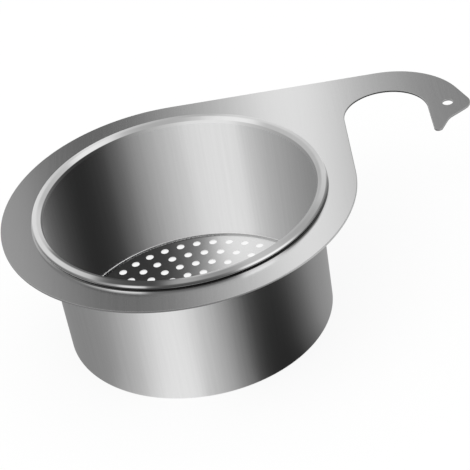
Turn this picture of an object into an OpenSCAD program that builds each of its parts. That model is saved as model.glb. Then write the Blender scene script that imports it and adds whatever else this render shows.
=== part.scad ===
// Corner sink strainer: a drawn steel cup with a drilled floor that hangs by its curled rim
// in a flat plate, whose far corner is cut as a bird's head and hooks round a tap.
// Frame: the origin is the centre of the cup's underside and +Z is up. +X runs along the
// plate's straight back edge towards the hook, and +Y points at that edge.

/* [Cup] */
// Diameter over the curled rim
cup_mouth_d = 120; // [80:1:180]
// Height from the underside to the top of the rim
cup_h = 61.2; // [40:0.1:90]
// How much smaller in radius the wall is at the floor than at the rim
wall_taper = 0.9; // [0:0.1:6]
// Sheet thickness of the cup
cup_t = 0.5; // [0.4:0.1:0.9]
// Outer radius of the corner between the wall and the floor
cup_corner_r = 1.2; // [1:0.1:6]
// Width of the rim, from the wall's inner face to its outer edge
rim_w = 4.3; // [4:0.1:6]
// Diameter of the curl that the rim ends in
bead_d = 3.3; // [2.8:0.1:3.8]
// Turn of the rim, from the wall over the top and back underneath
bead_turn = 290; // [270:5:310]

/* [Drain holes] */
// Diameter of one drain hole
hole_d = 3.4; // [2:0.1:4]
// Distance between neighbouring rings of holes, and between holes in a ring
hole_pitch = 7.25; // [6.5:0.05:10]
// Distance from the outermost ring of holes to the corner's bend
hole_margin = 5.6; // [3:0.1:9]
// Turn of the hole pattern about the cup's axis
hole_turn = -5; // [-30:1:30]

/* [Plate] */
// Width of the plate's ring outside the curled rim
flange_w = 12.4; // [6:0.1:30]
// How far the ring's outline sits off the cup's axis, away from the hook
ring_shift = 0.6; // [0:0.1:1.5]
// Sheet thickness of the plate
plate_t = 0.8; // [0.5:0.1:1.2]
// Radius with which the plate turns down into the cup's opening
lip_r = 3.5; // [2.5:0.1:4]
// Straight lip below that bend
lip_drop = 0.8; // [0.2:0.1:2]
// Gap between the lip and the cup's wall at the rim
wall_gap = 0.5; // [0.2:0.1:0.8]
// Gap that is left between the rim and the bend that it rests on
seat_gap = 0.05; // [0.02:0.01:0.2]

/* [Hook] */
// Radius of the hook's opening
hook_r = 17.6; // [12:0.1:25]
// Width of the band round that opening
head_w = 15.7; // [13:0.1:20]
// How far the tip of the head hangs below the centre of the opening
head_drop = 19.1; // [16.5:0.1:24]
// Radius of the rounded tip of the head
tip_r = 1.8; // [1.2:0.1:3]
// Radius of the rounded beak
beak_r = 6.6; // [4:0.1:8]
// How far the beak stands out past the head's round outline
beak_out = 1.9; // [1:0.1:4]
// How far the beak's centre lies below the centre of the opening
beak_drop = 0.5; // [0:0.1:3]
// Slope of the edge below the beak
jaw_slope = 35; // [25:1:42]
// Slope of the outer edge above the tip
throat_slope = 61; // [52:1:70]
// Radius of the hollow between those two edges
throat_r = 8; // [3:0.5:10]

/* [Eye] */
// Diameter of the eye hole
eye_d = 4.4; // [2:0.1:5]
// Distance of the eye's centre from the beak's outermost point
eye_inset = 9.2; // [8:0.1:11]
// Distance of the eye's centre from the hook's centre, towards the back edge
eye_up = 0.7; // [0:0.1:4]

/* [Hidden] */
$fn = 180;
// Angle covered by one straight step of a drawn curve
arc_step = 4;
// Overrun of every cut past the face that it opens
cut = 1;
// Length over which the lip's section runs on into the flat sheet
lip_join = 1;

// Curled rim: the wall bends outwards, and from its top on the section is a round tube
bead_r = bead_d / 2;
bead_x = cup_mouth_d / 2 - bead_r;
bead_z = cup_h - bead_r;
rim_bend_r = rim_w - bead_r;
rim_bend_z = cup_h - rim_bend_r;

// Wall and floor of the cup
wall_in = bead_x - rim_bend_r;
wall_out = wall_in + cup_t;
base_out = wall_out - wall_taper;
floor_flat = base_out - cup_corner_r;

// Drain holes: the outermost ring has a set radius, the others follow inwards by the pitch
field_r = floor_flat - hole_margin;
ring_fit_share = 0.45;
hole_rings = floor(field_r / hole_pitch + ring_fit_share);
holes_per_ring_step = 6;

// Opening of the plate: the lip's face, and where the flat sheet starts
lip_in = wall_out + wall_gap;
plate_in = lip_in + lip_r;
seat_reach = bead_r + lip_r + seat_gap;
plate_top = bead_z - sqrt(seat_reach * seat_reach - pow(plate_in - bead_x, 2)) + lip_r;
plate_low = plate_top - plate_t;

// Outline of the plate
ring_r = cup_mouth_d / 2 + flange_w;
ring_at = [-ring_shift, 0];
back_y = ring_r;
neck_x = ring_r - ring_shift;
hook_reach = hook_r + head_w;
hook_at = [neck_x + hook_r, back_y - hook_reach];

// Head: the beak's round stands out past the head's own, and one straight edge touches both
beak_off = [hook_reach + beak_out - beak_r, -beak_drop];
beak_at = hook_at + beak_off;
crown_angle = atan2(beak_off[1], beak_off[0]) + acos((hook_reach - beak_r) / norm(beak_off));
tip_at = hook_at + [hook_r + tip_r, tip_r - head_drop];
jaw_dir = [cos(jaw_slope), sin(jaw_slope)];
jaw_edge = beak_at + beak_r * [jaw_dir[1], -jaw_dir[0]];
throat_dir = [cos(throat_slope), sin(throat_slope)];
throat_edge = tip_at + tip_r * [throat_dir[1], -throat_dir[0]];
throat_corner = crossing(jaw_edge, jaw_dir, throat_edge, throat_dir);
throat_setback = throat_r * tan((throat_slope - jaw_slope) / 2);
throat_at = throat_corner - throat_setback * throat_dir + throat_r * [throat_dir[1], -throat_dir[0]];
eye_at = hook_at + [hook_reach + beak_out - eye_inset, eye_up];

// Points along a circle's arc, from one angle to another
function arc(centre, r, from, to) =
    let (steps = max(1, ceil(abs(to - from) / arc_step)))
    [for (i = [0:steps]) let (a = from + (to - from) * i / steps) centre + r * [cos(a), sin(a)]];

// Point where two straight lines meet, each given by a point and a direction
function crossing(p, p_dir, q, q_dir) =
    let (turn = cross(p_dir, q_dir))
    p + p_dir * cross(q - p, q_dir) / turn;

// Quarter turn of a bent sheet's section, in the quadrant that side points to
module quarter_bend(centre, r, t, side) {
    translate(centre)
        intersection() {
            difference() {
                circle(r);
                circle(r - t);
            }
            mirror([side[0] < 0 ? 1 : 0, 0])
                mirror([0, side[1] < 0 ? 1 : 0])
                    square(r + cut);
        }
}

// Curled rim: the bend out of the wall, and a tube's section that stays open on the wall's side
module curl() {
    open_from = 90;
    open_to = 540 - bead_turn;
    quarter_bend([bead_x, rim_bend_z], rim_bend_r, cup_t, [-1, 1]);
    translate([bead_x, bead_z])
        difference() {
            circle(bead_r);
            circle(bead_r - cup_t);
            polygon(concat([[0, 0]], arc([0, 0], bead_d, open_from, open_to)));
        }
}

// Half section of the cup: floor, bent corner, tapered wall and curled rim
module cup_profile() {
    square([floor_flat, cup_t]);
    quarter_bend([floor_flat, cup_corner_r], cup_corner_r, cup_t, [1, -1]);
    polygon([
        [base_out - cup_t, cup_corner_r],
        [base_out, cup_corner_r],
        [wall_out, rim_bend_z],
        [wall_in, rim_bend_z]
    ]);
    curl();
}

// Rings of drain holes, each with six more holes than the ring inside it
module drain_holes() {
    for (k = [1:hole_rings], i = [0:holes_per_ring_step * k - 1]) {
        ring = field_r - hole_pitch * (hole_rings - k);
        turn = hole_turn + 360 * i / (holes_per_ring_step * k);
        translate([ring * cos(turn), ring * sin(turn), -cut])
            cylinder(d = hole_d, h = cup_t + 2 * cut, $fn = 24);
    }
}

module strainer_cup() {
    color("gainsboro")
        difference() {
            rotate_extrude() cup_profile();
            drain_holes();
        }
}

// Head of the bird: crown, beak, jaw, throat, tip and the straight inner edge
module head_outline() {
    polygon(concat(
        [hook_at],
        arc(hook_at, hook_reach, 90, crown_angle),
        arc(beak_at, beak_r, crown_angle, jaw_slope - 90),
        arc(throat_at, throat_r, jaw_slope + 90, throat_slope + 90),
        arc(tip_at, tip_r, throat_slope - 90, -180),
        [hook_at + [hook_r, 0]]
    ));
}

// Whole outline of the flat sheet: the ring, the filled back corner and the head
module plate_outline() {
    difference() {
        union() {
            translate(ring_at) circle(ring_r);
            polygon([
                ring_at,
                [neck_x, 0],
                [neck_x, hook_at[1]],
                hook_at,
                [hook_at[0], back_y],
                [ring_at[0], back_y]
            ]);
            head_outline();
        }
        translate(hook_at) circle(hook_r);
        translate(eye_at) circle(d = eye_d);
        circle(plate_in);
    }
}

// Half section of the plate's turned-down lip
module lip_profile() {
    translate([plate_in, plate_low]) square([lip_join, plate_t]);
    quarter_bend([plate_in, plate_top - lip_r], lip_r, plate_t, [-1, 1]);
    translate([lip_in, plate_top - lip_r - lip_drop]) square([plate_t, lip_drop]);
}

module hook_plate() {
    color("silver") {
        translate([0, 0, plate_low]) linear_extrude(plate_t) plate_outline();
        rotate_extrude() lip_profile();
    }
}

strainer_cup();
hook_plate();
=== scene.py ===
import math

import bmesh
import bpy
from mathutils import Matrix, Vector
from mathutils.geometry import delaunay_2d_cdt


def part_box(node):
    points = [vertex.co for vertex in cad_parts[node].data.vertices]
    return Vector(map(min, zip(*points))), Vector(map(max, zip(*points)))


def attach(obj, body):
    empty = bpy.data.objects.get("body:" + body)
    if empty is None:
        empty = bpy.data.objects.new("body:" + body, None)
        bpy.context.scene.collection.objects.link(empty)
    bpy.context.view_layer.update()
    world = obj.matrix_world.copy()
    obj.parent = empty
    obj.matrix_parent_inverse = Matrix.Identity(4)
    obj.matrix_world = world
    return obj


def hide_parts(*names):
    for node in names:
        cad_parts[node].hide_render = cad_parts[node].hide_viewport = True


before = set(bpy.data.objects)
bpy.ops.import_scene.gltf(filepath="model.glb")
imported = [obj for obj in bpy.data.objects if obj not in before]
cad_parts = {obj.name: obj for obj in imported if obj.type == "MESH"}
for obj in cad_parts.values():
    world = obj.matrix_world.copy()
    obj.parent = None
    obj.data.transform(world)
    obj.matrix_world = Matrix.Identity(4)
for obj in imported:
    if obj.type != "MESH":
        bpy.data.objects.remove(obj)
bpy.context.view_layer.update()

mm = 0.001
creaseAngle = 35        # degrees between two faces from which their edge is shaded sharp


# helpers for building meshes, all in millimetres until finishPiece scales them

def onCircle(centre, radius, degrees):
    a = math.radians(degrees)
    return Vector((centre[0] + radius * math.cos(a), centre[1] + radius * math.sin(a)))


def arcPoints(centre, radius, start, end, step):
    count = max(1, math.ceil(abs(end - start) / step))
    return [onCircle(centre, radius, start + (end - start) * i / count) for i in range(count + 1)]


def circleLoop(bm, centre, radius, z, count):
    points = [onCircle(centre, radius, 360 * i / count) for i in range(count)]
    return [bm.verts.new((p.x, p.y, z)) for p in points]


def bridge(bm, lower, upper):
    # one strip of quads between two closed loops with the same number of vertices
    n = len(lower)
    for i in range(n):
        j = (i + 1) % n
        bm.faces.new((lower[i], lower[j], upper[j], upper[i]))


def revolve(bm, profile, count):
    # profile is a list of (radius, z), and every point becomes one closed loop round the axis
    loops = [circleLoop(bm, (0, 0), r, z, count) for r, z in profile]
    for a, b in zip(loops, loops[1:]):
        bridge(bm, a, b)
    return loops


def flatPattern(loops, isHole):
    # triangles between closed loops of one flat sheet, as indices into the loops laid end to end
    insideLoops, sameSpot = 1, 1e-7
    points, edges = [], []
    for loop in loops:
        first = len(points)
        points += [v.co.xy for v in loop]
        edges += [(first + i, first + (i + 1) % len(loop)) for i in range(len(loop))]
    made = delaunay_2d_cdt(points, edges, [], insideLoops, sameSpot)
    faces, sources = made[2], made[3]
    triangles = []
    for face in faces:
        corners = [sources[i][0] for i in face]
        middle = sum((points[i] for i in corners), Vector((0, 0))) / len(corners)
        if not isHole(middle):
            triangles.append(corners)
    return triangles


def layFlat(bm, loops, triangles, up):
    verts = [v for loop in loops for v in loop]
    for corners in triangles:
        order = corners if up else corners[::-1]
        bm.faces.new([verts[i] for i in order])


def finishPiece(bm, name, materials, node):
    bmesh.ops.recalc_face_normals(bm, faces=bm.faces)
    mesh = bpy.data.meshes.new(name)
    bm.to_mesh(mesh)
    bm.free()
    mesh.transform(Matrix.Scale(mm, 4))
    mesh.shade_smooth()
    mesh.set_sharp_from_angle(angle=math.radians(creaseAngle))
    piece = bpy.data.objects.new(name, mesh)
    bpy.context.scene.collection.objects.link(piece)
    for material in materials:
        mesh.materials.append(material)
    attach(piece, "root")
    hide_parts(node)
    print(name, len(mesh.polygons), "faces")


# helpers for building materials

def newMaterial(name):
    mat = bpy.data.materials.new(name)
    mat.use_nodes = True
    return mat, mat.node_tree.nodes, mat.node_tree.links


def mapRange(nodes, links, value, source, target=(0.0, 1.0), smooth=False):
    fit = nodes.new("ShaderNodeMapRange")
    fit.interpolation_type = "SMOOTHSTEP" if smooth else "LINEAR"
    fit.inputs["From Min"].default_value, fit.inputs["From Max"].default_value = source
    fit.inputs["To Min"].default_value, fit.inputs["To Max"].default_value = target
    links.new(value, fit.inputs["Value"])
    return fit.outputs["Result"]


def blendValues(nodes, links, share, first, second):
    mix = nodes.new("ShaderNodeMix")
    links.new(share, mix.inputs["Factor"])
    links.new(first, mix.inputs["A"])
    links.new(second, mix.inputs["B"])
    return mix.outputs["Result"]


def mathNode(nodes, links, operation, *values):
    # a value is a plain number or the output of another node
    node = nodes.new("ShaderNodeMath")
    node.operation = operation
    for value, socket in zip(values, node.inputs):
        if isinstance(value, float):
            socket.default_value = value
        else:
            links.new(value, socket)
    return node.outputs[0]


# camera: the photograph's own view, found from the rim, the holes and the outline

camera = {
    "tilt": 34.92,          # degrees down
    "roll": -10.38,
    "turn": 1.954,          # about the cup's axis
    "lens": 145.53,
    "sensor": 36.0,
    "distance": 763.0,      # mm to the middle of the rim
    "rimPixel": (178.63, 196.63),
    "frameSize": 470,
    "rimDrop": 1.65,        # middle of the rim's curl below the cup's top
    "clip": (0.01, 20),     # metres
}


def makeCamera(topZ):
    tilt, roll = math.radians(camera["tilt"]), math.radians(camera["roll"])
    ahead = Vector((0, math.cos(tilt), -math.sin(tilt)))
    side, rise = Vector((1, 0, 0)), Vector((0, math.sin(tilt), math.cos(tilt)))
    right = math.cos(roll) * side + math.sin(roll) * rise
    up = math.cos(roll) * rise - math.sin(roll) * side
    focal = camera["lens"] / camera["sensor"] * camera["frameSize"]
    middle = camera["frameSize"] / 2
    u, v = camera["rimPixel"]
    ray = ahead + right * (u - middle) / focal - up * (v - middle) / focal
    place = -ray.normalized() * camera["distance"]
    turn = Matrix.Rotation(math.radians(camera["turn"]), 3, "Z")
    place = turn @ place + Vector((0, 0, topZ - camera["rimDrop"]))
    axes = Matrix((turn @ right, turn @ up, turn @ -ahead)).transposed().to_4x4()
    data = bpy.data.cameras.new("camera")
    data.lens, data.sensor_width = camera["lens"], camera["sensor"]
    data.clip_start, data.clip_end = camera["clip"]
    ob = bpy.data.objects.new("camera", data)
    bpy.context.scene.collection.objects.link(ob)
    ob.matrix_world = Matrix.Translation(place * mm) @ axes
    bpy.context.scene.camera = ob
    print("camera at", [round(c, 1) for c in place], "mm")


# steel: polished on the rim and the floor's edge, brushed on the cup, satin on the plate

rimSteel = {
    "tone": 0.8, "toneSpread": 0.01, "roughness": 0.12, "roughSpread": 0.02,
    "bump": 0.05, "anisotropic": 0.0, "grain": (300, 300, 300),
}
cupSteel = {
    "tone": 0.78, "toneSpread": 0.02, "roughness": 0.34, "roughSpread": 0.02,
    "bump": 0.15, "anisotropic": 0.8, "grain": (900, 900, 12),
}
plateSteel = {
    "tone": 0.76, "toneSpread": 0.015, "roughness": 0.16, "roughSpread": 0.015,
    "bump": 0.05, "anisotropic": 0.0, "grain": (2600, 30, 30),
}
grainDetail = 3.0
grainRange = (0.3, 0.7)     # where most of the noise lies
grainDepth = 0.02 * mm


def steel(name, look):
    mat, nodes, links = newMaterial(name)
    shader = nodes["Principled BSDF"]
    shader.inputs["Metallic"].default_value = 1.0
    shader.inputs["Anisotropic"].default_value = look["anisotropic"]
    tangent = nodes.new("ShaderNodeTangent")
    tangent.direction_type = "RADIAL"
    tangent.axis = "Z"
    links.new(tangent.outputs["Tangent"], shader.inputs["Tangent"])

    coords = nodes.new("ShaderNodeTexCoord")
    place = nodes.new("ShaderNodeMapping")
    place.inputs["Scale"].default_value = look["grain"]
    links.new(coords.outputs["Object"], place.inputs["Vector"])
    noise = nodes.new("ShaderNodeTexNoise")
    noise.inputs["Scale"].default_value = 1.0
    noise.inputs["Detail"].default_value = grainDetail
    links.new(place.outputs["Vector"], noise.inputs["Vector"])
    grain = noise.outputs["Fac"]

    rough, spread = look["roughness"], look["roughSpread"]
    varied = mapRange(nodes, links, grain, grainRange, (rough - spread, rough + spread))
    links.new(varied, shader.inputs["Roughness"])
    tone, spread = look["tone"], look["toneSpread"]
    ramp = nodes.new("ShaderNodeMix")
    ramp.data_type = "RGBA"
    ramp.inputs["A"].default_value = (*[tone - spread] * 3, 1)
    ramp.inputs["B"].default_value = (*[tone + spread] * 3, 1)
    links.new(mapRange(nodes, links, grain, grainRange), ramp.inputs["Factor"])
    links.new(ramp.outputs["Result"], shader.inputs["Base Color"])
    bump = nodes.new("ShaderNodeBump")
    bump.inputs["Strength"].default_value = look["bump"]
    bump.inputs["Distance"].default_value = grainDepth
    links.new(grain, bump.inputs["Height"])
    links.new(bump.outputs["Normal"], shader.inputs["Normal"])
    return mat


# strainer cup: drilled floor, bent corner, tapered wall and curled rim

cup = {
    "sheet": 0.5,
    "cornerRadius": 1.2,
    "wallTaper": 0.9,
    "rimWidth": 4.3,        # from the wall's inner face to the curl's outer edge
    "beadWidth": 3.3,       # the curl itself
    "curlTurn": 290,        # degrees
    "floorRise": 0.9,       # pressed step that lifts the drilled floor off its foot ring
    "stepWidth": 0.7,
    "stepInset": 0.1,       # from the step to the corner's bend
    "stepOffset": 0.25,     # how much further in the step lies underneath
    "stepRows": 6,
    "holeWidth": 3.4,
    "holePitch": 7.25,
    "holeMargin": 5.6,
    "holeTurn": -5,         # degrees
    "holesPerRing": 6,      # more than in the ring inside it
    "ringFitShare": 0.45,
    "holeSides": 32,
    "sides": 288,
    "wallRows": 10,
    "endShare": 0.004,      # narrow rows at the wall's ends keep it straight in the shading
    "guard": 0.15,          # width of the narrow loops that keep flat faces flat in the shading
    "rimStep": 5,           # degrees from point to point
    "cornerStep": 9,
    "hiddenStep": 15,
}


def cupSizes():
    low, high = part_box("strainer_cup")
    size = {"mouthRadius": high.x / mm, "top": high.z / mm}
    size["beadRadius"] = cup["beadWidth"] / 2
    size["beadX"] = size["mouthRadius"] - size["beadRadius"]
    size["beadZ"] = size["top"] - size["beadRadius"]
    size["bendRadius"] = cup["rimWidth"] - size["beadRadius"]
    size["bendZ"] = size["top"] - size["bendRadius"]
    size["wallIn"] = size["beadX"] - size["bendRadius"]
    size["wallOut"] = size["wallIn"] + cup["sheet"]
    size["baseOut"] = size["wallOut"] - cup["wallTaper"]
    size["floorFlat"] = size["baseOut"] - cup["cornerRadius"]
    size["panelRadius"] = size["floorFlat"] - cup["stepInset"] - cup["stepWidth"]
    return size


def drainHoles(size):
    # centres of the holes, ring by ring outwards
    field = size["floorFlat"] - cup["holeMargin"]
    rings = math.floor(field / cup["holePitch"] + cup["ringFitShare"])
    centres = []
    for k in range(1, rings + 1):
        radius = field - cup["holePitch"] * (rings - k)
        count = cup["holesPerRing"] * k
        turns = [cup["holeTurn"] + 360 * i / count for i in range(count)]
        centres += [onCircle((0, 0), radius, turn) for turn in turns]
    return centres


def pressedStep(start, z):
    # the floor's step, from the raised drilled panel down to the foot ring
    shares = [i / cup["stepRows"] for i in range(cup["stepRows"] + 1)]
    return [
        (start + cup["stepWidth"] * s, z + cup["floorRise"] * (1 + math.cos(math.pi * s)) / 2)
        for s in shares
    ]


def cupProfile(size):
    # from the floor's top edge up the inside, round the curl and down the outside
    sheet, corner, guard = cup["sheet"], cup["cornerRadius"], cup["guard"]
    bend, bead = size["bendRadius"], size["beadRadius"]
    cornerAt = (size["floorFlat"], corner)
    bendAt = (size["beadX"], size["bendZ"])
    beadAt = (size["beadX"], size["beadZ"])
    curlEnd = 180 - cup["curlTurn"]
    cornerStep, rimStep = cup["cornerStep"], cup["rimStep"]
    stepTop = pressedStep(size["panelRadius"], sheet)
    stepLow = pressedStep(size["panelRadius"] - cup["stepOffset"], 0)
    rows = [i / cup["wallRows"] for i in range(1, cup["wallRows"])]
    wallInside = [
        (size["baseOut"] - sheet + cup["wallTaper"] * s, corner + (size["bendZ"] - corner) * s)
        for s in [cup["endShare"]] + rows + [1 - cup["endShare"]]
    ]
    foot = [(stepTop[0][0] - guard, stepTop[0][1])] + stepTop
    foot += arcPoints(cornerAt, corner - sheet, -90, 0, cornerStep)
    profile = foot + wallInside
    profile += arcPoints(bendAt, bend, 180, 90, rimStep)
    profile += arcPoints(beadAt, bead, 90, curlEnd, rimStep)[1:]
    profile += arcPoints(beadAt, bead - sheet, curlEnd, 90, cup["hiddenStep"])
    profile += arcPoints(bendAt, bend - sheet, 90, 180, cornerStep)[1:]
    profile += [(r + sheet, z) for r, z in reversed(wallInside)]
    profile += arcPoints(cornerAt, corner, 0, -90, cornerStep)
    profile += stepLow[::-1] + [(stepLow[0][0] - guard, stepLow[0][1])]
    return profile, len(foot)


def makeCup(brushed, polished):
    size = cupSizes()
    bm = bmesh.new()
    profile, footRows = cupProfile(size)
    loops = revolve(bm, profile, cup["sides"])
    for i, face in enumerate(bm.faces):
        inFoot = 0 < i // cup["sides"] < footRows
        inRim = face.calc_center_median().z > size["bendZ"]
        face.material_index = 1 if inFoot or inRim else 0
    holes = drainHoles(size)
    radius, low = cup["holeWidth"] / 2, cup["floorRise"]
    upper = [circleLoop(bm, c, radius, low + cup["sheet"], cup["holeSides"]) for c in holes]
    lower = [circleLoop(bm, c, radius, low, cup["holeSides"]) for c in holes]
    for a, b in zip(upper, lower):
        bridge(bm, a, b)

    def isHole(p):
        return any((p - c).length < radius for c in holes)

    triangles = flatPattern([loops[0]] + upper, isHole)
    layFlat(bm, [loops[0]] + upper, triangles, True)
    layFlat(bm, [loops[-1]] + lower, triangles, False)
    print("cup floor has", len(holes), "drain holes")
    finishPiece(bm, "strainerCup", [brushed, polished], "strainer_cup")


# hook plate: flat sheet with a turned-down lip, and a bird's head that hooks round the tap

plate = {
    "sheet": 0.8,
    "lipRadius": 3.5,
    "lipDrop": 0.8,
    "wallGap": 0.5,
    "ringShift": 0.6,
    "hookRadius": 17.6,
    "headWidth": 15.7,
    "headDrop": 19.1,
    "tipRadius": 1.8,
    "beakRadius": 6.6,
    "beakOut": 1.9,
    "beakDrop": 0.5,
    "jawSlope": 35,         # degrees
    "throatSlope": 61,
    "throatRadius": 8.0,
    "eyeWidth": 4.4,
    "eyeInset": 9.2,
    "eyeUp": 0.7,
    "edgeRound": 0.14,      # worn-off edge of the cut sheet
    "guard": 0.1,           # width of the narrow loops that keep flat faces flat in the shading
    "sides": 288,
    "eyeSides": 48,
    "arcStep": 3,           # degrees from point to point
    "tipStep": 10,
    "beakStep": 5,
    "ringStep": 1.5,
    "bendStep": 6,
    "edgeStep": 30,
}


def plateOutline(size):
    # (point, outward direction) all round, starting where the neck meets the hook's opening
    outline = []

    def along(centre, radius, start, end, hollow=False, step=plate["arcStep"]):
        for p in arcPoints(centre, radius, start, end, step):
            away = (p - Vector(centre)).normalized()
            outline.append((p, -away if hollow else away))

    hook, hookRadius = size["hookAt"], plate["hookRadius"]
    beakRadius, tipRadius = plate["beakRadius"], plate["tipRadius"]
    throatRadius = plate["throatRadius"]
    jawSlope, throatSlope = plate["jawSlope"], plate["throatSlope"]
    jaw, throat = math.radians(jawSlope), math.radians(throatSlope)
    reach = hookRadius + plate["headWidth"]
    beakOff = Vector((reach + plate["beakOut"] - beakRadius, -plate["beakDrop"]))
    beak = hook + beakOff
    lean = math.acos((reach - beakRadius) / beakOff.length)
    crown = math.degrees(math.atan2(beakOff.y, beakOff.x) + lean)
    tip = hook + Vector((hookRadius + tipRadius, tipRadius - plate["headDrop"]))
    jawWay = Vector((math.cos(jaw), math.sin(jaw)))
    throatWay = Vector((math.cos(throat), math.sin(throat)))
    throatOut = Vector((throatWay.y, -throatWay.x))
    jawEdge = beak + beakRadius * Vector((jawWay.y, -jawWay.x))
    throatEdge = tip + tipRadius * throatOut
    share = (throatEdge - jawEdge).cross(throatWay) / jawWay.cross(throatWay)
    corner = jawEdge + jawWay * share
    setback = throatRadius * math.tan((throat - jaw) / 2)
    throatAt = corner - setback * throatWay + throatRadius * throatOut

    along(hook, hookRadius, 180, 0, hollow=True)
    along(tip, tipRadius, 180, 270 + throatSlope, step=plate["tipStep"])
    along(throatAt, throatRadius, throatSlope + 90, jawSlope + 90, hollow=True)
    along(beak, beakRadius, jawSlope - 90, crown, step=plate["beakStep"])
    along(hook, reach, crown, 90)
    along(size["ringAt"], size["ringRadius"], 90, 360, step=plate["ringStep"])
    eyeAt = hook + Vector((reach + plate["beakOut"] - plate["eyeInset"], plate["eyeUp"]))
    return outline, eyeAt


def plateSizes():
    low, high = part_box("hook_plate")
    size = {"top": high.z / mm, "ringRadius": high.y / mm}
    size["low"] = size["top"] - plate["sheet"]
    size["ringAt"] = Vector((-plate["ringShift"], 0))
    neck = size["ringRadius"] - plate["ringShift"]
    reach = plate["hookRadius"] + plate["headWidth"]
    size["hookAt"] = Vector((neck + plate["hookRadius"], size["ringRadius"] - reach))
    size["lipIn"] = cupSizes()["wallOut"] + plate["wallGap"]
    size["flatFrom"] = size["lipIn"] + plate["lipRadius"]
    return size


def roundedEdge(size):
    # (distance in from the cut, z) over the top corner and the bottom one
    r, guard, top, low = plate["edgeRound"], plate["guard"], size["top"], size["low"]
    turns = [math.radians(a) for a in range(0, 91, plate["edgeStep"])]
    bend = [(r * (1 - math.sin(a)), r * (1 - math.cos(a))) for a in turns]
    steps = [(r + guard, top)] + [(inset, top - drop) for inset, drop in bend]
    return steps + [(inset, low + drop) for inset, drop in reversed(bend)] + [(r + guard, low)]


def lipProfile(size):
    # from the flat sheet's top, down round the bend, round the lip's end and back up
    sheet, bend, guard, r = plate["sheet"], plate["lipRadius"], plate["guard"], plate["edgeRound"]
    bendStep, edgeStep = plate["bendStep"], plate["edgeStep"]
    centre = (size["flatFrom"], size["top"] - bend)
    roundZ = size["top"] - bend - plate["lipDrop"] + r
    profile = [(size["flatFrom"] + guard, size["top"])]
    profile += arcPoints(centre, bend, 90, 180, bendStep)
    profile += arcPoints((size["lipIn"] + r, roundZ), r, 180, 270, edgeStep)
    profile += arcPoints((size["lipIn"] + sheet - r, roundZ), r, 270, 360, edgeStep)
    profile += arcPoints(centre, bend - sheet, 180, 90, bendStep)
    profile += [(size["flatFrom"] + guard, size["low"])]
    return profile


def makePlate(material):
    size = plateSizes()
    outline, eyeAt = plateOutline(size)
    bm = bmesh.new()
    edge, half, sides = roundedEdge(size), plate["eyeWidth"] / 2, plate["eyeSides"]
    rim = [[bm.verts.new((*(p - away * inset), z)) for p, away in outline] for inset, z in edge]
    eye = [circleLoop(bm, eyeAt, half + inset, z, sides) for inset, z in edge]
    for loops in (rim, eye):
        for a, b in zip(loops, loops[1:]):
            bridge(bm, a, b)
    lip = revolve(bm, lipProfile(size), plate["sides"])
    lipRadius = size["flatFrom"] + plate["guard"]
    eyeRadius = half + plate["edgeRound"] + plate["guard"]

    def isHole(p):
        return p.length < lipRadius or (p - eyeAt).length < eyeRadius

    triangles = flatPattern([rim[0], eye[0], lip[0]], isHole)
    layFlat(bm, [rim[0], eye[0], lip[0]], triangles, True)
    layFlat(bm, [rim[-1], eye[-1], lip[-1]], triangles, False)
    finishPiece(bm, "hookPlate", [material], "hook_plate")


# studio: white floor, soft lamp, and cards that only the metal sees, the close ones painting its
# reflections and shade

studio = {
    "floorWidth": 6.0,          # metres
    "floorDrop": 0.02,          # mm below the cup, so that the two faces don't fight
    "floorColour": (0.9, 0.9, 0.9, 1),
    "floorRoughness": 0.9,
    "floorGlow": 0.88,          # what the floor shows of itself, the rest is lamp light
    "lampPlace": (-0.5, -0.6, 1.2),
    "lampWidth": 1.2,
    "lampWatts": 6,
    "tent": [(0.62, 0.001), (0.62, 0.6), (0.42, 0.98), (0.01, 1.1)],    # metres out and up
    "roof": {"tone": 0.5, "from": 0.45, "to": 0.95},
    "backCard": {"y": 0.5, "halfWidth": 0.36, "from": 0.1, "to": 0.85},
    # every card below is in mm, mostly as places outwards and up
    # close cards round the wall that paint its reflections outside and inside and on the floor
    "outerCard": [(-0.7, 0.02), (0.6, 0.08), (4, 6)],           # from the cup's foot
    "outerCardTop": [(71.5, 50)],                               # from the axis
    "innerCardFoot": [(0.3, 1.25)],                             # from the floor's bend
    "innerCardMiddle": [(-1.7, 3.5)],                           # from the cup's foot
    "innerCardTop": [(-1.2, -1)],                               # from the wall beside the curl
    # shell round the rim that paints its reflections and highlights, and the plate's reflection
    # of it
    "rimOff": 0.45,                                             # outside the rim's metal
    "rimArc": (185, -35),                                       # degrees
    "rimPlaces": [(-2.78, -2.58), (-1.3, -0.1), (1.65, 2.05)],  # from the curl's middle
    "mirrorRise": (0.6, 1.5),                                   # above the plate
    # painted shade under the curl: the rim card is dark below these heights
    "underRise": (0.7, 1.25),
    "underShadeTone": 0.05,
    # dark ring in the gap below the rim: painted shadow
    "gapShadowCard": [(-0.9, 0.1), (0.45, 0.1)],                      # from the rim's edge
    # bright ring with a painted glint, then dark rings with painted shade at the foot of the wall
    "glintCard": [(0.3, 1.0), (0.3, 1.25)],                     # from the floor's bend
    "grooveShadeCard": [(0.3, 1.0), (0.0, 0.8), (-0.25, 1.0)],
    "shadeCard": [(-0.2, 2.2), (-0.2, 1.0)],
    # card under the plate that paints the reflection on its cut edges
    "edgeCardDrop": 0.6,                                        # below the plate
    "edgeCardReach": (62, 160),                                 # from the axis
    "sides": 96,
    "fineSides": 192,
}
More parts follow.
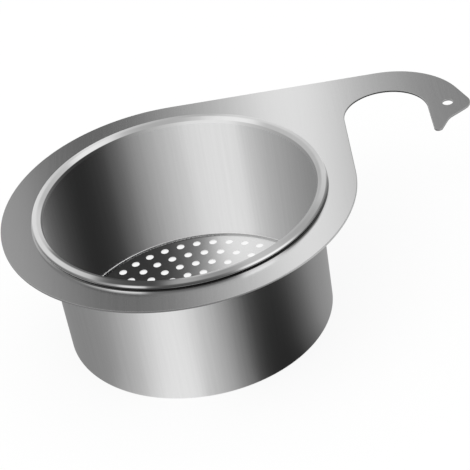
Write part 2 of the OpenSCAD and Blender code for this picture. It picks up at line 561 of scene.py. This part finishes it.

# brightness of the cards, by angle round the cup's axis, 0 to the right and 90 behind: the tent,
# and the close cards that paint the reflections on the wall outside and inside and on the floor
tentTones = [
    (0, 0.55), (40, 0.6), (90, 0.58), (140, 0.5), (180, 0.42), (200, 0.2), (220, 0.1),
    (240, 0.1), (255, 0.15), (270, 0.25), (285, 0.35), (300, 0.6), (320, 0.8), (340, 0.65),
]
outerWallReflectionTones = [
    (0, 0.4), (60, 0.6), (110, 0.8), (160, 0.45), (200, 0.3), (220, 0.32), (230, 0.44),
    (240, 0.6), (250, 0.87), (258, 0.97), (270, 0.72), (280, 0.48), (290, 0.19), (300, 0.035),
    (310, 0.03), (320, 0.09), (330, 0.21), (340, 0.33),
]
innerWallReflectionTones = [
    (0, 0.28), (20, 0.33), (40, 0.45), (50, 0.56), (60, 0.75), (70, 0.94), (80, 0.9),
    (90, 0.72), (100, 0.52), (110, 0.31), (120, 0.12), (130, 0.04), (140, 0.03), (150, 0.055),
    (160, 0.11), (180, 0.24), (225, 0.5), (250, 0.9), (285, 0.45), (310, 0.08), (330, 0.1),
]
floorReflectionTones = [
    (0, 0.4), (33, 0.6), (45, 0.75), (56, 0.91), (66, 0.96), (74, 0.89), (81, 0.59), (90, 0.24),
    (98, 0.13), (108, 0.06), (146, 0.05), (180, 0.1), (250, 0.9), (310, 0.1),
]
# the same for the card round the rim, which paints the rim's reflections and highlights:
# below its inner bend, over the bend, its crown and its outer side
rimLowTones = [
    (0, 0.28), (20, 0.34), (40, 0.46), (50, 0.58), (60, 0.78), (70, 0.94), (80, 0.9),
    (90, 0.72), (100, 0.52), (110, 0.31), (120, 0.12), (130, 0.05), (140, 0.05), (150, 0.08),
    (160, 0.14), (172, 0.2), (180, 0.18), (200, 0.16), (220, 0.08), (260, 0.04), (275, 0.35),
    (300, 0.5), (330, 0.35),
]
rimInnerTones = [
    (0, 0.52), (28, 0.6), (45, 0.62), (60, 1.0), (80, 0.7), (100, 0.5), (115, 0.75), (130, 1.0),
    (145, 0.65), (165, 0.6), (180, 0.74), (200, 0.6), (212, 0.2), (232, 0.15), (243, 0.08),
    (256, 0.08), (270, 0.5), (282, 0.62), (300, 0.6), (330, 0.5), (345, 0.55),
]
rimCrownTones = [
    (0, 0.74), (20, 0.7), (40, 0.78), (60, 0.8), (80, 0.54), (105, 0.63), (128, 0.88),
    (142, 0.7), (170, 0.85), (200, 0.82), (220, 0.74), (231, 0.62), (243, 0.12), (257, 0.08),
    (270, 0.42), (282, 0.34), (300, 0.62), (322, 0.45), (345, 0.66),
]
rimOuterTones = [
    (0, 0.7), (25, 0.82), (100, 0.8), (120, 0.85), (140, 0.76), (160, 0.86), (185, 0.6),
    (200, 0.35), (220, 0.22), (236, 0.34), (244, 0.5), (250, 0.9), (256, 0.3), (264, 0.1),
    (280, 0.13), (290, 0.5), (302, 1.15), (312, 0.95), (324, 0.4), (342, 0.28),
]
# painted reflection of the rim in the plate, from the rim card's back, low down and near the
# crown
mirrorLowTones = [
    (0, 0.75), (30, 0.75), (60, 0.6), (90, 0.25), (120, 0.12), (150, 0.17), (180, 0.25),
    (190, 0.28), (210, 0.22), (225, 0.25), (232, 0.4), (240, 0.6), (247, 0.85), (253, 0.75),
    (259, 0.18), (270, 0.13), (280, 0.12), (290, 0.4), (300, 0.8), (310, 0.45), (320, 0.18),
    (330, 0.22), (340, 0.7),
]
mirrorHighTones = [
    (0, 0.75), (30, 0.75), (60, 0.6), (90, 0.25), (120, 0.12), (150, 0.17), (180, 0.25),
    (190, 0.28), (210, 0.25), (225, 0.2), (235, 0.13), (245, 0.12), (255, 0.16), (262, 0.24),
    (272, 0.32), (282, 0.42), (290, 0.55), (300, 1.0), (310, 0.8), (320, 0.9), (330, 0.95),
    (345, 0.85),
]
# the rings at the foot of the wall inside, a painted glint over painted shade, and the
# painted shadow in the gap below the rim
glintTones = [
    (0, 0.7), (50, 0.9), (70, 1.05), (85, 0.85), (100, 0.75), (115, 0.9), (130, 1.25),
    (180, 1.2), (250, 0.6),
]
grooveShadeTones = [
    (0, 0.4), (60, 0.45), (72, 0.35), (85, 0.1), (100, 0.05), (180, 0.05), (250, 0.4),
]
gapShadowTones = [
    (0, 0.5), (30, 0.6), (180, 0.6), (205, 0.4), (225, 0.15), (240, 0.06), (330, 0.06),
    (350, 0.2),
]
# brightness by place from left to right in metres: the card under the plate that paints the
# reflection on its cut edges, and the card behind
edgeReflectionTones = [
    (-0.09, 0.36), (-0.05, 0.25), (0.03, 0.3), (0.05, 0.6), (0.07, 0.6), (0.078, 0.07),
    (0.1, 0.07), (0.112, 0.32), (0.14, 0.32),
]
backTones = [
    (-0.36, 0.5), (-0.2, 0.44), (-0.155, 0.4), (-0.12, 0.22), (-0.09, 0.15), (-0.065, 0.18),
    (-0.032, 0.35), (0, 0.55), (0.028, 0.82), (0.055, 1.0), (0.075, 0.92), (0.091, 0.74),
    (0.11, 0.56), (0.13, 0.45), (0.164, 0.3), (0.36, 0.3),
]


def toneCurve(nodes, links, position, tones, low, high):
    # brightness from given stops between low and high
    curve = nodes.new("ShaderNodeFloatCurve")
    links.new(mapRange(nodes, links, position, (low, high)), curve.inputs["Value"])
    line = curve.mapping.curves[0]
    stops = [((at - low) / (high - low), tone) for at, tone in tones]
    line.points[0].location = stops[0]
    line.points[1].location = stops[-1]
    for x, tone in stops[1:-1]:
        line.points.new(x, tone)
    curve.mapping.update()
    return curve.outputs["Value"]


def roundTone(tones):
    # brightness that depends on the angle round the axis; the last stop runs on to the first
    def make(nodes, links, split):
        fullTurn = 2 * math.pi
        angle = mathNode(nodes, links, "ARCTAN2", split.outputs["Y"], split.outputs["X"])
        turn = mathNode(nodes, links, "WRAP", angle, fullTurn, 0.0)
        closed = [(math.radians(a), tone) for a, tone in tones + [(360, tones[0][1])]]
        return toneCurve(nodes, links, turn, closed, 0.0, fullTurn)
    return make


def sideTone(tones):
    # brightness that depends on the place from left to right
    def make(nodes, links, split):
        return toneCurve(nodes, links, split.outputs["X"], tones, tones[0][0], tones[-1][0])
    return make


def rising(below, above, heights):
    # one brightness below, running over to another one between two heights
    def make(nodes, links, split):
        share = mapRange(nodes, links, split.outputs["Z"], heights)
        first, second = below(nodes, links, split), above(nodes, links, split)
        return blendValues(nodes, links, share, first, second)
    return make


def twoSides(front, back):
    # the front is on the right on the way along a card's profile
    def make(nodes, links, split):
        turned = nodes.new("ShaderNodeNewGeometry").outputs["Backfacing"]
        first, second = front(nodes, links, split), back(nodes, links, split)
        return blendValues(nodes, links, turned, first, second)
    return make


def outwards(makes, places):
    # running from one brightness to the next as the distance from the axis grows
    def makeAll(nodes, links, split):
        flat = nodes.new("ShaderNodeCombineXYZ")
        links.new(split.outputs["X"], flat.inputs["X"])
        links.new(split.outputs["Y"], flat.inputs["Y"])
        away = nodes.new("ShaderNodeVectorMath")
        away.operation = "LENGTH"
        links.new(flat.outputs["Vector"], away.inputs[0])
        value = makes[0](nodes, links, split)
        for make, place in zip(makes[1:], places):
            share = mapRange(nodes, links, away.outputs["Value"], place, smooth=True)
            value = blendValues(nodes, links, share, value, make(nodes, links, split))
        return value
    return makeAll


def cardMaterial(name, makeTone):
    mat, nodes, links = newMaterial(name)
    mat.cycles.emission_sampling = "NONE"
    nodes.clear()
    coords = nodes.new("ShaderNodeTexCoord")
    split = nodes.new("ShaderNodeSeparateXYZ")
    links.new(coords.outputs["Object"], split.inputs["Vector"])
    glow = nodes.new("ShaderNodeEmission")
    links.new(makeTone(nodes, links, split), glow.inputs["Strength"])
    out = nodes.new("ShaderNodeOutputMaterial")
    links.new(glow.outputs["Emission"], out.inputs["Surface"])
    return mat


def onlyFront(mat):
    # makes the card clear from the back, so that it is there for one side only
    nodes, links = mat.node_tree.nodes, mat.node_tree.links
    face = nodes.new("ShaderNodeNewGeometry")
    clear = nodes.new("ShaderNodeBsdfTransparent")
    mix = nodes.new("ShaderNodeMixShader")
    links.new(face.outputs["Backfacing"], mix.inputs[0])
    links.new(nodes["Emission"].outputs[0], mix.inputs[1])
    links.new(clear.outputs[0], mix.inputs[2])
    links.new(mix.outputs[0], nodes["Material Output"].inputs["Surface"])
    return mat


def placeCard(name, mesh, material):
    ob = bpy.data.objects.new(name, mesh)
    bpy.context.scene.collection.objects.link(ob)
    mesh.materials.append(material)
    ob.visible_camera = False
    ob.visible_diffuse = False
    ob.visible_shadow = False
    ob.visible_transmission = False


def cornersFrom(radius, places, z=0):
    # a card's corners in metres, from mm out from a radius and up from a height
    return [((radius + out) * mm, (z + up) * mm) for out, up in places]


def roundCard(name, profile, material, count=studio["sides"]):
    bm = bmesh.new()
    revolve(bm, profile, count)
    mesh = bpy.data.meshes.new(name)
    bm.to_mesh(mesh)
    bm.free()
    placeCard(name, mesh, material)


def makeBackCard():
    card = studio["backCard"]
    w, y, low, high = card["halfWidth"], card["y"], card["from"], card["to"]
    mesh = bpy.data.meshes.new("backCard")
    corners = [(-w, y, low), (w, y, low), (w, y, high), (-w, y, high)]
    mesh.from_pydata(corners, [], [(0, 1, 2, 3)])
    placeCard("backCard", mesh, cardMaterial("backTone", sideTone(backTones)))


def makeWorld():
    world = bpy.data.worlds.new("studioWhite")
    bpy.context.scene.world = world
    world.use_nodes = True
    background = world.node_tree.nodes["Background"]
    background.inputs["Color"].default_value = (1, 1, 1, 1)
    background.inputs["Strength"].default_value = 1.0


def makeFloor():
    # pale floor that looks white to the camera and to the metal, and keeps the shadow
    half, z = studio["floorWidth"] / 2, -studio["floorDrop"] * mm
    mesh = bpy.data.meshes.new("floor")
    corners = [(-half, -half, z), (half, -half, z), (half, half, z), (-half, half, z)]
    mesh.from_pydata(corners, [], [(0, 1, 2, 3)])
    floor = bpy.data.objects.new("floor", mesh)
    bpy.context.scene.collection.objects.link(floor)
    mat, nodes, links = newMaterial("paleFloor")
    shader = nodes["Principled BSDF"]
    shader.inputs["Base Color"].default_value = studio["floorColour"]
    shader.inputs["Roughness"].default_value = studio["floorRoughness"]
    rays = nodes.new("ShaderNodeLightPath").outputs
    seen = mathNode(nodes, links, "MAXIMUM", rays["Is Camera Ray"], rays["Is Glossy Ray"])
    seen = mathNode(nodes, links, "MAXIMUM", seen, rays["Is Transmission Ray"])
    share = mathNode(nodes, links, "MULTIPLY", seen, studio["floorGlow"])
    glow = nodes.new("ShaderNodeEmission")
    mix = nodes.new("ShaderNodeMixShader")
    links.new(share, mix.inputs[0])
    links.new(shader.outputs[0], mix.inputs[1])
    links.new(glow.outputs[0], mix.inputs[2])
    links.new(mix.outputs[0], nodes["Material Output"].inputs["Surface"])
    mesh.materials.append(mat)


def makeLamp():
    # soft light for the floor; the metal gets its light from the cards
    data = bpy.data.lights.new("softLamp", "AREA")
    data.shape = "SQUARE"
    data.size = studio["lampWidth"]
    data.energy = studio["lampWatts"]
    lamp = bpy.data.objects.new("softLamp", data)
    bpy.context.scene.collection.objects.link(lamp)
    lamp.location = studio["lampPlace"]
    lamp.rotation_euler = (-Vector(studio["lampPlace"])).to_track_quat("-Z", "Y").to_euler()
    lamp.visible_camera = False
    lamp.visible_glossy = False


def makeWallCards(size):
    # close cards that paint the reflections on the wall outside and inside, and with the inner
    # card's back on the drilled floor
    outer = cornersFrom(size["baseOut"], studio["outerCard"])
    outer += cornersFrom(0, studio["outerCardTop"])
    roundCard("outerCard", outer, cardMaterial("outerWallReflectionTone", roundTone(outerWallReflectionTones)))
    inner = cornersFrom(size["floorFlat"], studio["innerCardFoot"])
    inner += cornersFrom(size["baseOut"], studio["innerCardMiddle"])
    inner += cornersFrom(size["wallIn"], studio["innerCardTop"], size["beadZ"])
    tone = twoSides(roundTone(innerWallReflectionTones), roundTone(floorReflectionTones))
    roundCard("innerCard", inner, cardMaterial("innerWallReflectionTone", tone))


def makeRimCard(size, plateTop):
    # a shell just outside the curled rim that paints reflections and highlights: the rim mirrors
    # its front, the plate its back
    off = studio["rimOff"]
    start, end = studio["rimArc"]
    step = cup["rimStep"]
    bend = arcPoints((size["beadX"], size["bendZ"]), size["bendRadius"] + off, start, 90, step)
    curl = arcPoints((size["beadX"], size["beadZ"]), size["beadRadius"] + off, 90, end, step)
    shell = [(p.x * mm, p.y * mm) for p in bend + curl[1:]]
    places = [tuple((size["beadX"] + at) * mm for at in place) for place in studio["rimPlaces"]]
    underHeights = tuple((plateTop + up) * mm for up in studio["underRise"])
    mirrorHeights = tuple((plateTop + up) * mm for up in studio["mirrorRise"])
    # painted shade on the curl's underside
    dark = roundTone([(0, studio["underShadeTone"])])
    outer = rising(dark, roundTone(rimOuterTones), underHeights)
    inner = [roundTone(tones) for tones in (rimLowTones, rimInnerTones, rimCrownTones)]
    mirrored = rising(roundTone(mirrorLowTones), roundTone(mirrorHighTones), mirrorHeights)
    tone = twoSides(outwards(inner + [outer], places), mirrored)
    roundCard("rimReflectionCard", shell, cardMaterial("rimReflectionTone", tone), studio["fineSides"])


def makeRingCards(size, plateTop):
    # a dark ring in the gap below the rim as painted shadow, and the rings at the foot of the
    # wall inside as a painted glint and painted shade
    fine = studio["fineSides"]
    gap = cornersFrom(size["mouthRadius"], studio["gapShadowCard"], plateTop)
    roundCard("gapShadowCard", gap, cardMaterial("gapShadowTone", roundTone(gapShadowTones)), fine)
    foot = size["floorFlat"]
    glint = cardMaterial("glintCardTone", roundTone(glintTones))
    groove = cardMaterial("grooveShadeCardTone", roundTone(grooveShadeTones))
    shade = onlyFront(cardMaterial("shadeCardTone", roundTone(grooveShadeTones)))
    roundCard("glintCard", cornersFrom(foot, studio["glintCard"]), glint, fine)
    roundCard("grooveShadeCard", cornersFrom(foot, studio["grooveShadeCard"]), groove, fine)
    roundCard("shadeCard", cornersFrom(foot, studio["shadeCard"]), shade, fine)


def makeEdgeCard(plateLow):
    # level card under the plate, seen from above only, that paints the reflection on its cut
    # edges
    low = (plateLow - studio["edgeCardDrop"]) * mm
    start, end = [reach * mm for reach in studio["edgeCardReach"]]
    tone = onlyFront(cardMaterial("edgeReflectionTone", sideTone(edgeReflectionTones)))
    roundCard("edgeCard", [(end, low), (start, low)], tone)


def makeStudio():
    makeWorld()
    makeFloor()
    makeLamp()
    roof = studio["roof"]
    heights = (roof["from"], roof["to"])
    tentTone = rising(roundTone(tentTones), roundTone([(0, roof["tone"])]), heights)
    roundCard("tentCard", studio["tent"], cardMaterial("tentTone", tentTone))
    makeBackCard()
    size, sheet = cupSizes(), plateSizes()
    makeWallCards(size)
    makeRimCard(size, sheet["top"])
    makeRingCards(size, sheet["top"])
    makeEdgeCard(sheet["low"])
    print("studio is lit")


bpy.context.scene.view_settings.view_transform = "Standard"
makeCamera(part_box("strainer_cup")[1].z / mm)
makeStudio()
makeCup(steel("cupSteel", cupSteel), steel("rimSteel", rimSteel))
makePlate(steel("plateSteel", plateSteel))
